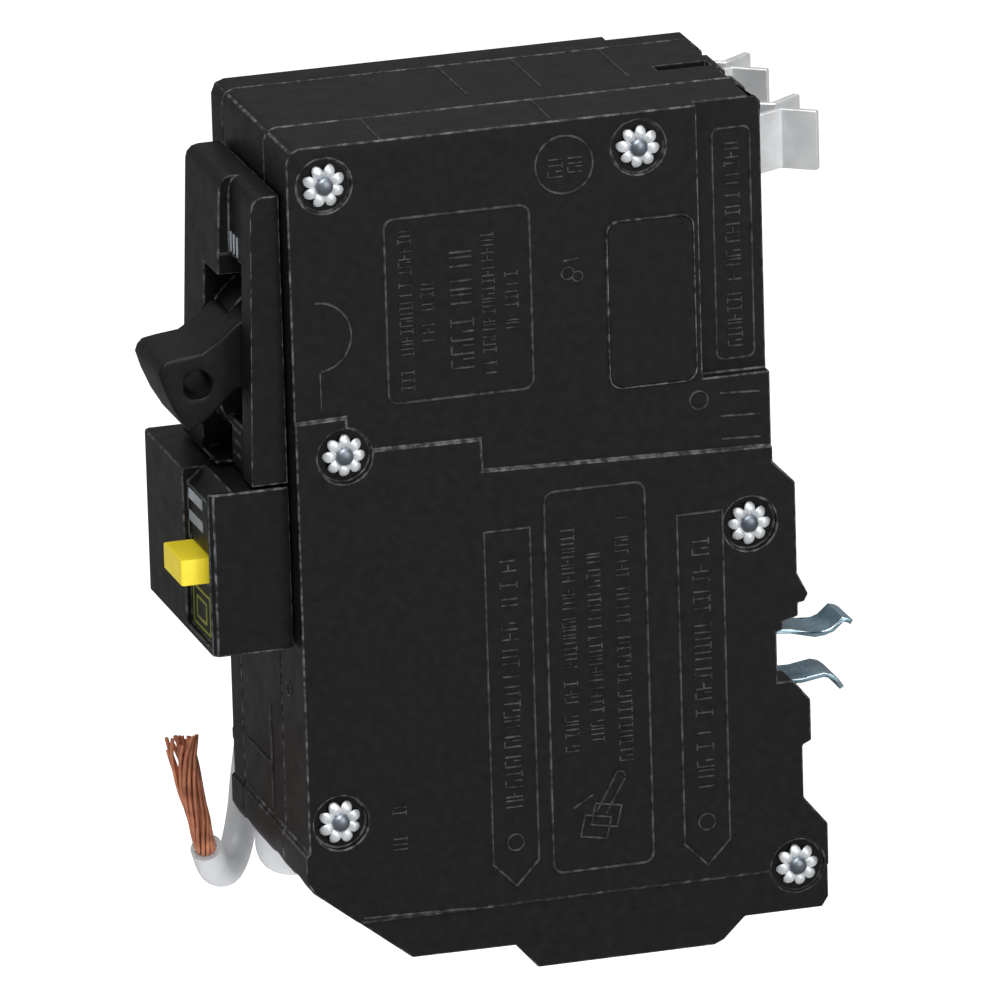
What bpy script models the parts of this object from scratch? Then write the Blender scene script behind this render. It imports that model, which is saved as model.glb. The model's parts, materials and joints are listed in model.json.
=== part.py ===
"""Two-pole plug-on ground-fault breaker, black, with a coiled white neutral pigtail.

+Z is the line end with the plug-on jaws, -Y the front with the handle and the test button,
+X the large side that carries the markings. X = 0 is the middle of the width and Y = 0 is
the back face that seats on the panel. Lengths are written in millimetres and scaled once.
"""

import math

import bmesh
import bpy
from mathutils import Matrix, Vector

MM = 0.001

# Driving dimensions
HALF_WIDTH = 19.05
TOP, FRONT, BACK = 25.0, -58.0, 0.0
SEAM_NEAR, SEAM_FAR = 9.1, -8.6
FAR_STEP_X = -13.4
FAR_STEP_INSET = 2.3
WALL = 1.8
GAP = 0.3
POLE_X = 9.5
WEB = (-3.0, -1.0)
UPPER_PANEL_DEPTH = 0.4
LINE_STRIP_DEPTH = 1.9

# Joint axes, as (Y, Z)
HANDLE_AXIS = (-52.8, -4.6)
ARM_AXIS = (-46.0, 5.3)
CRADLE_AXIS = (-36.0, -14.0)
ARMATURE_AXIS = (-25.3, -45.0)
TRIP_BAR_AXIS = (-20.5, -30.0)

# Rivets, as (Y, Z)
RIVETS = [
    (-53.5, 20.2), (-15.4, 20.7), (-52.1, -12.7), (-3.0, -26.7), (-54.0, -57.5), (2.0, -69.9),
]
RIVET_POST_R, RIVET_HOLE_R, RIVET_SHANK_R, RIVET_HEAD_R = 2.9, 1.45, 1.2, 2.75
RIVET_RECESS = 0.9

# Terminals: X centre, Y of the lug's front face, Z of the lug's underside
TERMINALS = {
    "load_near": (13.0, -46.0, -72.6),
    "load_far": (-8.8, -46.0, -72.6),
    "neutral": (4.2, -27.0, -73.6),
}
LUG_SIZE = (6.6, 12.6, 9.2)
SCREW_Z = -68.0

# Front: the raised nose, the handle's slot in it and the test button's housing below
NOSE_BACK = FRONT - GAP
NOSE_TOP, NOSE_FOOT = 19.0, -16.0
NOSE_STEP_X = 6.2
SLOT_X, SLOT_Z = (6.0, 12.0), (-10.2, 9.5)
HANDLE_X, NECK_X = (0.4, 11.4), (6.5, 11.4)
DRUM_R = 11.5
HOUSING_FRONT, HOUSING_Z = -68.0, (-36.3, -16.4)
BUTTON_X, BUTTON_Z = (5.4, 13.4), (-28.1, -24.9)
RECESS_X, RECESS_FLOOR = (4.6, 15.5), -67.3

# Pigtail
LEAD_R, COPPER_R = 1.95, 1.5
BARE_GAP = 1.3
COIL_CENTRE = (-29.0, -58.0)
COIL_R, COIL_PITCH, COIL_TURNS = 20.0, 4.0, 2.6
COIL_FIRST_X, COIL_START = -37.0, 265.0
COIL_STEPS = 14
LEAD_EXIT = (-19.4, -46.0, -64.0)
LEAD_OUT = [
    LEAD_EXIT, (-22.6, -46.3, -64.6), (-25.3, -47.9, -68.2), (-27.6, -49.6, -73.2),
    (-30.2, -48.6, -78.0), (-33.4, -43.0, -80.2), (-36.0, -37.0, -79.6),
]
LEAD_END = [
    (-26.2, -44.8, -45.2), (-26.1, -49.2, -52.0), (-25.9, -52.0, -59.5), (-25.6, -53.2, -65.6),
    (-24.6, -54.1, -70.0), (-21.6, -56.0, -73.6), (-17.3, -58.4, -74.4), (-13.4, -60.9, -72.6),
    (-11.2, -62.4, -69.2),
]
BARE_END = [(-11.0, -63.2, -65.6), (-11.4, -64.0, -61.9), (-12.0, -64.4, -57.9), (-12.5, -64.5, -55.3)]

SECTION = [
    (FRONT, TOP - 1.6), (-57.5, TOP - 0.4), (-56.4, TOP), (-0.7, TOP), (BACK, TOP - 0.7),
    (BACK, -19.4), (2.7, -22.2), (2.7, -33.5), (4.0, -36.2), (3.5, -37.1), (2.7, -37.2),
    (2.7, -38.8), (0.8, -39.3), (0.8, -40.3), (BACK, -40.5), (BACK, -46.7), (1.9, -46.7),
    (4.0, -49.3), (4.0, -54.4), (2.9, -54.9), (2.9, -61.4), (5.8, -65.0), (5.8, -74.3),
    (5.0, -75.5), (-4.6, -75.5), (-7.3, -78.1), (-8.5, -78.6), (-30.3, -78.6), (-33.0, -75.5),
    (-45.7, -75.4), (-57.6, -65.9), (-58.4, -64.4), (-58.4, -61.2), (FRONT, -60.8),
]
CORE = [
    (FRONT, TOP), (BACK, TOP), (BACK, -19.4), (2.7, -22.2), (2.7, -38.0), (BACK, -40.5),
    (BACK, -47.5), (2.9, -51.5), (2.9, -61.4), (5.8, -65.0), (5.8, -75.5), (-4.6, -75.5),
    (-7.7, -78.6), (-30.3, -78.6), (-33.0, -75.4), (-45.7, -75.4), (-58.0, -65.6),
]

COLOURS = {
    "case_plastic": ((0.018, 0.019, 0.020), 0.42, 0.0),
    "button_yellow": ((0.86, 0.72, 0.03), 0.4, 0.0),
    "rivet_steel": ((0.55, 0.57, 0.60), 0.3, 1.0),
    "jaw_tin": ((0.72, 0.73, 0.74), 0.32, 1.0),
    "clip_steel": ((0.36, 0.47, 0.55), 0.3, 1.0),
    "copper": ((0.72, 0.33, 0.18), 0.35, 1.0),
    "contact_silver": ((0.78, 0.78, 0.76), 0.3, 1.0),
    "spring_steel": ((0.5, 0.51, 0.52), 0.35, 1.0),
    "bimetal_strip": ((0.5, 0.46, 0.38), 0.38, 1.0),
    "lug_metal": ((0.62, 0.63, 0.64), 0.4, 1.0),
    "screw_steel": ((0.58, 0.57, 0.50), 0.35, 1.0),
    "trip_plastic": ((0.6, 0.12, 0.05), 0.5, 0.0),
    "board_green": ((0.03, 0.20, 0.08), 0.5, 0.0),
    "component_dark": ((0.03, 0.03, 0.035), 0.5, 0.0),
    "winding_enamel": ((0.45, 0.16, 0.06), 0.4, 0.3),
    "lead_insulation": ((0.82, 0.83, 0.84), 0.45, 0.0),
}


def clear_scene():
    for item in list(bpy.data.objects):
        bpy.data.objects.remove(item, do_unlink=True)


def make_materials():
    made = {}
    for name, (colour, roughness, metallic) in COLOURS.items():
        material = bpy.data.materials.new(name)
        material.use_nodes = True
        shader = material.node_tree.nodes["Principled BSDF"]
        shader.inputs["Base Color"].default_value = (*colour, 1)
        shader.inputs["Roughness"].default_value = roughness
        shader.inputs["Metallic"].default_value = metallic
        made[name] = material
    return made


def object_from(name, points, faces, smooth_angle=None):
    """A mesh object from millimetre points, with its faces turned outwards."""
    mesh = bpy.data.meshes.new(name)
    mesh.from_pydata([Vector(p) * MM for p in points], [], faces)
    grown = bmesh.new()
    grown.from_mesh(mesh)
    bmesh.ops.recalc_face_normals(grown, faces=grown.faces)
    grown.to_mesh(mesh)
    grown.free()
    if smooth_angle:
        mesh.shade_smooth()
        mesh.set_sharp_from_angle(angle=math.radians(smooth_angle))
    item = bpy.data.objects.new(name, mesh)
    bpy.context.scene.collection.objects.link(item)
    return item


AXIS_PLACES = {"X": (1, 2, 0), "Y": (0, 2, 1), "Z": (0, 1, 2)}


def on_axis(axis, a, b, along):
    """A point from two coordinates across an axis and one along it."""
    place = [0.0, 0.0, 0.0]
    for slot, value in zip(AXIS_PLACES[axis], (a, b, along)):
        place[slot] = value
    return place


def prism(name, outline, low, high, axis="X"):
    """A straight-sided solid: an outline across the axis, from low to high along it."""
    count = len(outline)
    points = [on_axis(axis, a, b, along) for along in (low, high) for a, b in outline]
    faces = [list(range(count)), list(range(count, 2 * count))]
    faces += [(i, (i + 1) % count, count + (i + 1) % count, count + i) for i in range(count)]
    return object_from(name, points, faces)


def block(name, x, y, z):
    return prism(name, [(y[0], z[0]), (y[1], z[0]), (y[1], z[1]), (y[0], z[1])], x[0], x[1])


def turned(name, profile, centre, axis="X", steps=20):
    """A turned solid: (radius, along) pairs round an axis through centre, ends closed."""
    points, rings = [], []
    for radius, along in profile:
        ring = []
        for step in range(steps if radius > 0 else 1):
            angle = 2 * math.pi * (step + 0.5) / steps
            a = centre[0] + radius * math.cos(angle)
            b = centre[1] + radius * math.sin(angle)
            ring.append(len(points))
            points.append(on_axis(axis, a, b, along))
        rings.append(ring)
    faces = []
    for low, high in zip(rings, rings[1:]):
        for step in range(steps):
            after = (step + 1) % steps
            corners = [low[step % len(low)], low[after % len(low)]]
            corners += [high[after % len(high)], high[step % len(high)]]
            faces.append(list(dict.fromkeys(corners)))
    return object_from(name, points, faces, smooth_angle=35)


def rod(name, radius, low, high, centre, axis="X", steps=20):
    return turned(name, [(0, low), (radius, low), (radius, high), (0, high)], centre, axis, steps)


def ring(name, inner, outer, low, high, centre, axis="X", steps=24):
    """A plain ring, made by cutting a rod out of a rod."""
    body = rod(name, outer, low, high, centre, axis, steps)
    return cut(body, rod(name + "_bore", inner, low - 1, high + 1, centre, axis, steps))


def use(target, tools, operation):
    for tool in tools:
        tool.hide_render = True
        tool.display_type = "WIRE"
        step = target.modifiers.new(tool.name, "BOOLEAN")
        step.operation, step.solver, step.object = operation, "EXACT", tool
    return target


def cut(target, *tools):
    return use(target, tools, "DIFFERENCE")


def join(target, *tools):
    return use(target, tools, "UNION")


def ribbon(path, thickness):
    """The outline of a bent strip: a centre line and its thickness."""
    sides = ([], [])
    for i, here in enumerate(path):
        before, after = path[max(i - 1, 0)], path[min(i + 1, len(path) - 1)]
        first = Vector(here) - Vector(before) if i else Vector(after) - Vector(here)
        second = Vector(after) - Vector(here) if i < len(path) - 1 else first
        normals = [Vector((-way.y, way.x)).normalized() for way in (first, second)]
        mitre = (normals[0] + normals[1]).normalized()
        reach = thickness / 2 / max(mitre.dot(normals[0]), 0.3)
        for side, sign in zip(sides, (1, -1)):
            side.append(tuple(Vector(here) + mitre * reach * sign))
    return sides[0] + sides[1][::-1]


def inset(outline, depth):
    """The outline moved inwards by depth, with mitred corners."""
    moved = []
    count = len(outline)
    area = sum(a[0] * b[1] - b[0] * a[1] for a, b in zip(outline, outline[1:] + outline[:1]))
    turn = 1 if area > 0 else -1
    for i, here in enumerate(outline):
        first = (Vector(here) - Vector(outline[i - 1])).normalized()
        second = (Vector(outline[(i + 1) % count]) - Vector(here)).normalized()
        normals = [Vector((-way.y, way.x)) * turn for way in (first, second)]
        mitre = (normals[0] + normals[1]).normalized()
        moved.append(tuple(Vector(here) + mitre * depth / mitre.dot(normals[0])))
    return moved


def tube(name, path, radius, sides=8):
    """A round wire along a path, with flat ends."""
    path = [Vector(p) for p in path]
    ways = [(path[min(i + 1, len(path) - 1)] - path[max(i - 1, 0)]).normalized() for i in range(len(path))]
    across = ways[0].orthogonal().normalized()
    points, faces = [], []
    for place, way in zip(path, ways):
        across = (across - way * across.dot(way)).normalized()
        up = way.cross(across)
        for side in range(sides):
            angle = 2 * math.pi * side / sides
            points.append(place + radius * (across * math.cos(angle) + up * math.sin(angle)))
    for row in range(0, (len(path) - 1) * sides, sides):
        for side in range(sides):
            after = (side + 1) % sides
            faces.append((row + side, row + after, row + sides + after, row + sides + side))
    faces.append(list(range(sides)))
    faces.append(list(range((len(path) - 1) * sides, len(path) * sides)))
    return object_from(name, points, faces, smooth_angle=50)


def coil_spring(name, centre, low, high, radius, wire, turns, axis):
    """A compression or tension spring wound round an axis."""
    steps, path = 10, []
    for step in range(int(turns * steps) + 1):
        share = step / (turns * steps)
        angle = 2 * math.pi * step / steps
        a, b = centre[0] + radius * math.cos(angle), centre[1] + radius * math.sin(angle)
        path.append(on_axis(axis, a, b, low + (high - low) * share))
    return tube(name, path, wire, sides=5)


def pivot_at(item, x, axis_point):
    """Moves an object's origin onto its joint axis, leaving its shape in place."""
    origin = Vector((x, *axis_point)) * MM
    for piece in [item] + [step.object for step in item.modifiers if step.type == "BOOLEAN"]:
        piece.data.transform(Matrix.Translation(-origin))
        piece.location = origin
    return item


def paint(item, slot):
    item.data.materials.clear()
    item.data.materials.append(MATERIALS[slot])
    return item


# The case

def posts(name, x):
    return [rod(f"{name}_post_{i}", RIVET_POST_R, x[0], x[1], at, steps=16) for i, at in enumerate(RIVETS)]


def post_holes(name, x):
    return [rod(f"{name}_hole_{i}", RIVET_HOLE_R, x[0], x[1], at, steps=12) for i, at in enumerate(RIVETS)]


def wire_port(name, terminal):
    """The cutter for the square port under a lug."""
    x, front, under = TERMINALS[terminal]
    return block(name, (x - 2.6, x + 2.6), (front + 5.0, front + 11.4), (under - 7.5, under - 0.1))


def screw_way(name, terminal):
    """The cutter for a screwdriver hole through the sloping load end."""
    return rod(name, 3.0, -62.0, -50.0, (TERMINALS[terminal][0], SCREW_Z), axis="Y", steps=16)


def jaw_window(name, x):
    return block(name, (x - 4.0, x + 4.0), (-6.4, 2.0), (13.2, 21.9))


def clip_window(name, x):
    return block(name, x, (-5.2, 5.5), (-49.2, -41.4))


def top_notch(name, x):
    """The cutter for a small step in the back edge of the line end."""
    return block(name, x, (-1.2, 1.0), (TOP - 1.3, TOP + 1))


def case_shell(name, outer_x, cavity_x):
    """A slice of the case, with the room for the works opened through or into it."""
    shell = prism(name, SECTION, *outer_x)
    for i, span in enumerate(cavity_x):
        cut(shell, prism(f"{name}_room_{i}", inset(CORE, WALL), *span))
    return shell


def near_side_cover():
    name = "near_side_cover"
    inner = SEAM_NEAR + GAP / 2
    cover = case_shell(name, (inner, HALF_WIDTH), [(inner - 1, HALF_WIDTH - WALL - 0.6)])
    join(cover, *posts(name, (inner, HALF_WIDTH - 1)))
    bearing = (12.6, HALF_WIDTH - 2)
    join(cover, rod(name + "_bearing", 3.7, *bearing, HANDLE_AXIS))
    cut(cover, rod(name + "_bearing_bore", 2.2, bearing[0] - 1, 16.2, HANDLE_AXIS))
    cut(cover, *post_holes(name, (inner - 1, HALF_WIDTH + 1)))
    recess_x = (HALF_WIDTH - RIVET_RECESS, HALF_WIDTH + 1)
    cut(cover, *[rod(f"{name}_recess_{i}", 3.3, *recess_x, at, steps=24) for i, at in enumerate(RIVETS)])
    upper = [
        (-60, 27), (-60, -8.2), (-51.8, -8.0), (-51.8, -12.3), (-35.6, -12.5), (-35.5, -16.4),
        (6, -17.6), (6, 27),
    ]
    cut(cover, prism(name + "_upper_face", upper, HALF_WIDTH - UPPER_PANEL_DEPTH, HALF_WIDTH + 1))
    strip_x = (HALF_WIDTH - LINE_STRIP_DEPTH, HALF_WIDTH + 2)
    cut(cover, block(name + "_line_strip", strip_x, (-8.2, 2), (-8.3, 27)))
    foot_x = (HALF_WIDTH - UPPER_PANEL_DEPTH, HALF_WIDTH + 1)
    cut(cover, block(name + "_foot", foot_x, (-60, 8), (-80, -70.2)))
    cut(cover, jaw_window(name + "_jaw_window", POLE_X), clip_window(name + "_clip_window", (8.0, 14.8)))
    cut(cover, top_notch(name + "_notch", (11.6, 17.0)))
    cut(cover, block(name + "_handle_slot", (inner - 1, SLOT_X[1]), (-70, -50), SLOT_Z))
    cut(cover, wire_port(name + "_port", "load_near"), screw_way(name + "_screw_way", "load_near"))
    return paint(cover, "case_plastic")


def far_side_cover():
    name = "far_side_cover"
    inner = SEAM_FAR - GAP / 2
    cover = prism(name, SECTION, FAR_STEP_X, inner)
    join(cover, prism(name + "_raised", inset(CORE, FAR_STEP_INSET), -HALF_WIDTH, FAR_STEP_X + 1))
    cut(cover, prism(name + "_room_0", inset(CORE, FAR_STEP_INSET + WALL), -HALF_WIDTH + WALL, inner + 1))
    cut(cover, prism(name + "_room_1", inset(CORE, WALL), FAR_STEP_X + 1.0, inner + 1))
    join(cover, *posts(name, (-HALF_WIDTH + 1, inner)))
    recess_x = (-HALF_WIDTH - 1, -HALF_WIDTH + RIVET_RECESS)
    cut(cover, *[rod(f"{name}_recess_{i}", 3.3, *recess_x, at, steps=24) for i, at in enumerate(RIVETS)])
    cut(cover, *post_holes(name, (-HALF_WIDTH - 1.3, inner + 1.3)))
    cut(cover, jaw_window(name + "_jaw_window", -POLE_X), clip_window(name + "_clip_window", (-13.3, -8.0)))
    cut(cover, wire_port(name + "_port", "load_far"), screw_way(name + "_screw_way", "load_far"))
    cut(cover, block(name + "_back_step", (-HALF_WIDTH - 1, -11.8), (-9.8, 7), (TOP - 1.4, TOP + 1)))
    cut(cover, rod(name + "_lead_hole", LEAD_R + 0.3, -HALF_WIDTH - 1, -HALF_WIDTH + 4, LEAD_EXIT[1:]))
    return paint(cover, "case_plastic")


def nose_block(name, x, front_top, front_foot, top=NOSE_TOP):
    """A slice of the nose: its top edge is rounded and its front leans out towards the foot."""
    outline = [
        (NOSE_BACK, top), (front_top + 1.6, top), (front_top + 0.8, top - 0.2), (front_top + 0.2, top - 0.8),
        (front_top, top - 1.6), (front_foot, NOSE_FOOT), (NOSE_BACK, NOSE_FOOT),
    ]
    return prism(name, outline, *x)


def nose(name):
    """The raised front in three slices, and the test button's housing under it."""
    body = nose_block(name, (-8.3, NOSE_STEP_X), -62.8, -64.2)
    join(body, nose_block(name + "_middle", (NOSE_STEP_X - 0.5, SLOT_X[1] + 0.4), -61.5, -62.3))
    join(body, nose_block(name + "_near", (SLOT_X[1] + 0.2, 16.3), -61.8, -62.7))
    front, side = HOUSING_FRONT, (-12.3, 16.3)
    housing = [
        (side[0], front + 0.6), (side[0] + 0.6, front), (side[1] - 0.6, front), (side[1], front + 0.6),
        (side[1], NOSE_BACK), (side[0], NOSE_BACK),
    ]
    join(body, prism(name + "_housing", housing, *HOUSING_Z, axis="Z"))
    bridge = block(name + "_bridge", (SEAM_FAR + 0.4, SEAM_NEAR - 0.4), (-59.0, -57.0), (-36.0, 17.0))
    join(body, bridge)
    return body


def button_recess(name):
    """The cutter for the channel round the button, which runs out through the housing's top."""
    outline = [
        (-75, -35.4), (RECESS_FLOOR, -35.4), (RECESS_FLOOR, -18.2), (-63.9, -15.4), (-75, -15.4),
    ]
    return prism(name, outline, *RECESS_X)


def drum_pocket(name):
    """The cutter for the pocket behind the wide part of the handle, with a drum as its floor."""
    pocket = block(name, (0.1, SLOT_X[0] + 0.4), (-75, -58.8), (-15.6, 7.0))
    return cut(pocket, rod(name + "_drum", DRUM_R, -1, SLOT_X[0] + 1, HANDLE_AXIS, steps=48))


def centre_frame():
    name = "centre_frame"
    x = (SEAM_FAR + GAP / 2, SEAM_NEAR - GAP / 2)
    frame = case_shell(name, x, [(WEB[1], x[1] + 1), (x[0] - 1, WEB[0])])
    join(frame, *posts(name, x))
    join(frame, nose(name + "_nose"))
    join(frame, rod(name + "_arm_stud", 1.3, -11.2, 11.2, ARM_AXIS, steps=12))
    join(frame, rod(name + "_cradle_stud", 1.3, -7.6, 7.6, CRADLE_AXIS, steps=12))
    cut(frame, *post_holes(name, (x[0] - 1, x[1] + 1)))
    cut(frame, block(name + "_handle_slot", SLOT_X, (-75, -52), SLOT_Z), drum_pocket(name + "_pocket"))
    cut(frame, rod(name + "_handle_bore", 2.2, WEB[0] - 1, WEB[1] + 1, HANDLE_AXIS))
    cut(frame, rod(name + "_trip_bore", 1.75, WEB[0] - 1, WEB[1] + 1, TRIP_BAR_AXIS, steps=12))
    room = block(name + "_button_room", (4.3, 14.6), (-65.0, -58.6), (-29.7, -23.3))
    way_x, way_z = [(low - GAP, high + GAP) for low, high in (BUTTON_X, BUTTON_Z)]
    way = block(name + "_button_way", way_x, (-70, -62), way_z)
    vent = block(name + "_button_vent", (9.3, 14.6), (-60.0, -57.5), (-29.7, -23.3))
    cut(frame, button_recess(name + "_button_recess"), room, way, vent)
    cut(frame, jaw_window(name + "_near_jaw", POLE_X), jaw_window(name + "_far_jaw", -POLE_X))
    cut(frame, block(name + "_top_slot", (1.2, 3.2), (-8.0, -1.6), (TOP - 1.2, TOP + 1)))
    cut(frame, top_notch(name + "_far_notch", (-5.2, -1.4)), top_notch(name + "_near_notch", (3.9, 8.2)))
    cut(frame, clip_window(name + "_clip_window", (8.0, x[1] + 1)))
    cut(frame, wire_port(name + "_neutral_port", "neutral"), screw_way(name + "_screw_way", "neutral"))
    cut(frame, wire_port(name + "_far_port", "load_far"), screw_way(name + "_far_screw", "load_far"))
    return paint(frame, "case_plastic")


def rivets():
    head = HALF_WIDTH - RIVET_RECESS
    profile = [
        (0, -head - 0.8), (1.5, -head - 0.7), (RIVET_HEAD_R, -head - 0.25), (RIVET_HEAD_R, -head - 0.05),
        (RIVET_SHANK_R, -head - 0.05), (RIVET_SHANK_R, head + 0.05), (RIVET_HEAD_R, head + 0.05),
        (RIVET_HEAD_R, head + 0.3), (1.5, head + 0.5), (1.2, head + 0.95), (0, head + 1.15),
    ]
    for number, at in enumerate(RIVETS, 1):
        paint(turned(f"rivet_{number}", profile, at, steps=14), "rivet_steel")


# What the hand reaches

def handle():
    """The lever's blade, its hub in the slot, and the shaft that reaches both poles."""
    blade = [
        (-54.0, -0.2), (-58.5, 3.0), (-61.0, 3.4), (-62.8, 2.4), (-64.4, 0.9), (-66.8, -0.6), (-69.5, -0.9),
        (-71.2, -1.2), (-71.8, -1.8), (-72.1, -2.6), (-71.5, -4.6), (-70.4, -7.2), (-69.0, -9.6),
        (-68.4, -9.9), (-66.4, -8.8), (-64.2, -6.8), (-62.6, -5.4), (-60.0, -4.9), (-57.0, -5.4),
    ]
    lever = prism("handle", blade, *HANDLE_X)
    cut(lever, rod("handle_back", DRUM_R + 0.5, -1, NECK_X[0], HANDLE_AXIS, steps=48))
    join(lever, rod("handle_hub", 4.8, *NECK_X, HANDLE_AXIS, steps=24))
    join(lever, rod("handle_shaft", 2.0, -10.5, 15.6, HANDLE_AXIS, steps=16))
    join(lever, rod("handle_far_crank", 3.0, -10.6, -4.2, HANDLE_AXIS, steps=16))
    cut(lever, rod("handle_hole", 1.7, HANDLE_X[0] - 1, HANDLE_X[1] + 1, (-67.4, -4.4), steps=16))
    pivot_at(lever, 0, HANDLE_AXIS)
    return paint(lever, "case_plastic")


def test_button():
    """The yellow push button, held behind the housing's wall by its flange."""
    button = block("test_button", BUTTON_X, (-70.8, -63.6), BUTTON_Z)
    flange = block("test_button_flange", (4.7, 14.1), (-64.6, -63.4), (-29.2, -23.8))
    paint(join(button, flange), "button_yellow")
    middle = (sum(BUTTON_X) / 2, sum(BUTTON_Z) / 2)
    spring = coil_spring("test_button_spring", middle, -63.0, -59.0, 1.7, 0.22, 4, "Y")
    return paint(spring, "spring_steel")


# One pole's works: the side is +1 at the near pole and -1 at the far pole

def line_jaw(name, side):
    """Plug-on jaw and the strap that carries the fixed contact."""
    x = side * POLE_X
    arm = [(3.9, 8.2), (1.2, 4.5), (3.0, 0.8), (3.0, -5.5)]
    path = [(x + a, b) for a, b in arm] + [(x - a, b) for a, b in reversed(arm)]
    jaw = prism(name, ribbon(path, 0.8), 13.9, 21.1, axis="Z")
    join(jaw, block(name + "_strap", (x - 2, x + 2), (-22.0, -5.3), (13.9, 15.1)))
    return paint(jaw, "jaw_tin")


def contacts(tag, side):
    x = side * POLE_X
    paint(rod(f"fixed_contact_{tag}", 2.0, 12.4, 13.6, (x, -19.5), axis="Z", steps=16), "contact_silver")
    outline = [
        (-49.0, 3.4), (-49.0, 7.2), (-44.0, 8.2), (-38.0, 6.9), (-17.2, 6.9), (-17.2, 4.6),
        (-38.0, 3.6), (-44.0, 2.4), (-48.0, 2.4),
    ]
    arm = prism(f"contact_arm_{tag}", outline, x - 0.8, x + 0.8)
    cut(arm, rod(f"contact_arm_{tag}_bore", 1.5, x - 2, x + 2, ARM_AXIS, steps=12))
    paint(pivot_at(arm, x, ARM_AXIS), "copper")
    tip = rod(f"contact_tip_{tag}", 1.7, 7.2, 8.2, (x, -19.5), axis="Z", steps=14)
    paint(tip, "contact_silver")
    spring = coil_spring(f"toggle_spring_{tag}", (x, -33.0), -7.0, 3.1, 1.5, 0.28, 6, "Z")
    paint(spring, "spring_steel")


def arc_chute(tag, side):
    """Stacked splitter plates held by a side board."""
    x = side * POLE_X
    chute = block(f"arc_chute_{tag}", (x - 2.8, x + 2.8), (-6.0, -4.7), (-8.0, 9.6))
    for i in range(6):
        low = -7.6 + i * 3.2
        join(chute, block(f"arc_chute_{tag}_plate_{i}", (x - 2.6, x + 2.6), (-15.4, -5.4), (low, low + 1.0)))
    return paint(chute, "spring_steel")


def cradle(tag, side):
    """The latched lever that the trip bar lets go."""
    x = sorted((side * 4.6, side * 6.0))
    outline = [
        (-38.6, -12.6), (-36.8, -11.0), (-33.6, -12.0),
        (-21.6, -19.6), (-19.8, -21.2), (-19.8, -22.7), (-25.0, -22.7), (-35.8, -16.8), (-38.4, -16.0),
    ]
    lever = prism(f"cradle_{tag}", outline, *x)
    cut(lever, rod(f"cradle_{tag}_bore", 1.5, x[0] - 1, x[1] + 1, CRADLE_AXIS, steps=12))
    return paint(pivot_at(lever, x[0], CRADLE_AXIS), "spring_steel")


def thermal_magnetic(tag, side):
    """Bimetal strip, the magnet round it and the armature it pulls."""
    x = side * POLE_X
    strip = [(-36.5, -61.5), (-32.0, -57.0), (-30.2, -50.0), (-29.8, -38.0), (-30.2, -25.0)]
    paint(prism(f"bimetal_{tag}", ribbon(strip, 0.9), x - 2.2, x + 2.2), "bimetal_strip")
    channel = [(x - 3.5, -27.2), (x - 3.5, -32.6), (x + 3.5, -32.6), (x + 3.5, -27.2)]
    paint(prism(f"magnet_yoke_{tag}", ribbon(channel, 1.1), -43.0, -35.0, axis="Z"), "lug_metal")
    armature = block(f"armature_{tag}", (x - 3.6, x + 3.6), (-25.8, -24.8), (-46.0, -26.0))
    paint(pivot_at(armature, x, ARMATURE_AXIS), "lug_metal")


def rail_clip(tag, x):
    """One bent strip: two tongues behind the back face that grip a rail between them."""
    route = [
        (9.4, -50.0), (8.6, -48.8), (7.2, -48.1), (4.5, -48.5), (1.0, -48.3), (-4.4, -48.0), (-4.7, -45.5),
        (-4.4, -43.2), (0.0, -42.1), (3.2, -42.2), (6.2, -43.0), (8.4, -42.6), (9.7, -41.5), (10.8, -42.0),
    ]
    path = [(point.y, point.z) for point in smooth_path([(0, y, z) for y, z in route], 2)]
    return paint(prism(f"rail_clip_{tag}", ribbon(path, 0.6), *x), "clip_steel")


# Load end

def terminal(tag):
    """A lug with its wire window, its screw and the plate that the screw drives."""
    x, front, under = TERMINALS[tag]
    wide, deep, tall = LUG_SIZE
    lug = block(f"{tag}_lug", (x - wide / 2, x + wide / 2), (front, front + deep), (under, under + tall))
    window_y, window_z = (front + 2.4, front + deep - 1.2), (under - 1, under + tall + 1)
    window = block(f"{tag}_lug_window", (x - 2.3, x + 2.3), window_y, window_z)
    bore = rod(f"{tag}_lug_bore", 1.8, front - 1, front + 3.0, (x, SCREW_Z), axis="Y", steps=12)
    paint(cut(lug, window, bore), "lug_metal")
    profile = [(0, -2.2), (2.5, -2.2), (2.5, -0.3), (1.5, -0.3), (1.5, 3.4), (0, 3.4)]
    profile = [(radius, front + along) for radius, along in profile]
    screw = turned(f"{tag}_screw", profile, (x, SCREW_Z), axis="Y", steps=16)
    slot_z = (SCREW_Z - 0.35, SCREW_Z + 0.35)
    slot = block(f"{tag}_screw_slot", (x - 2.8, x + 2.8), (front - 3, front - 1.4), slot_z)
    paint(cut(screw, slot), "screw_steel")
    plate_y, plate_z = (front + 3.75, front + 4.65), (under + 0.5, under + tall - 0.5)
    return paint(block(f"{tag}_clamp_plate", (x - 1.95, x + 1.95), plate_y, plate_z), "lug_metal")


def trip_bar():
    """The bar across both poles, with a finger for each."""
    bar = rod("trip_bar", 1.5, -12.2, 12.2, TRIP_BAR_AXIS, steps=14)
    y, z = TRIP_BAR_AXIS
    for i, side in enumerate((1, -1)):
        finger_x, latch_x = sorted((side * 7.6, side * 11.4)), sorted((side * 4.6, side * 6.2))
        join(bar, block(f"trip_bar_finger_{i}", finger_x, (y - 3.9, y + 0.8), (z - 0.7, z + 0.7)))
        join(bar, block(f"trip_bar_latch_{i}", latch_x, (y - 0.8, y + 0.8), (z, z + 6.9)))
    return paint(pivot_at(bar, 0, TRIP_BAR_AXIS), "trip_plastic")


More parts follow.
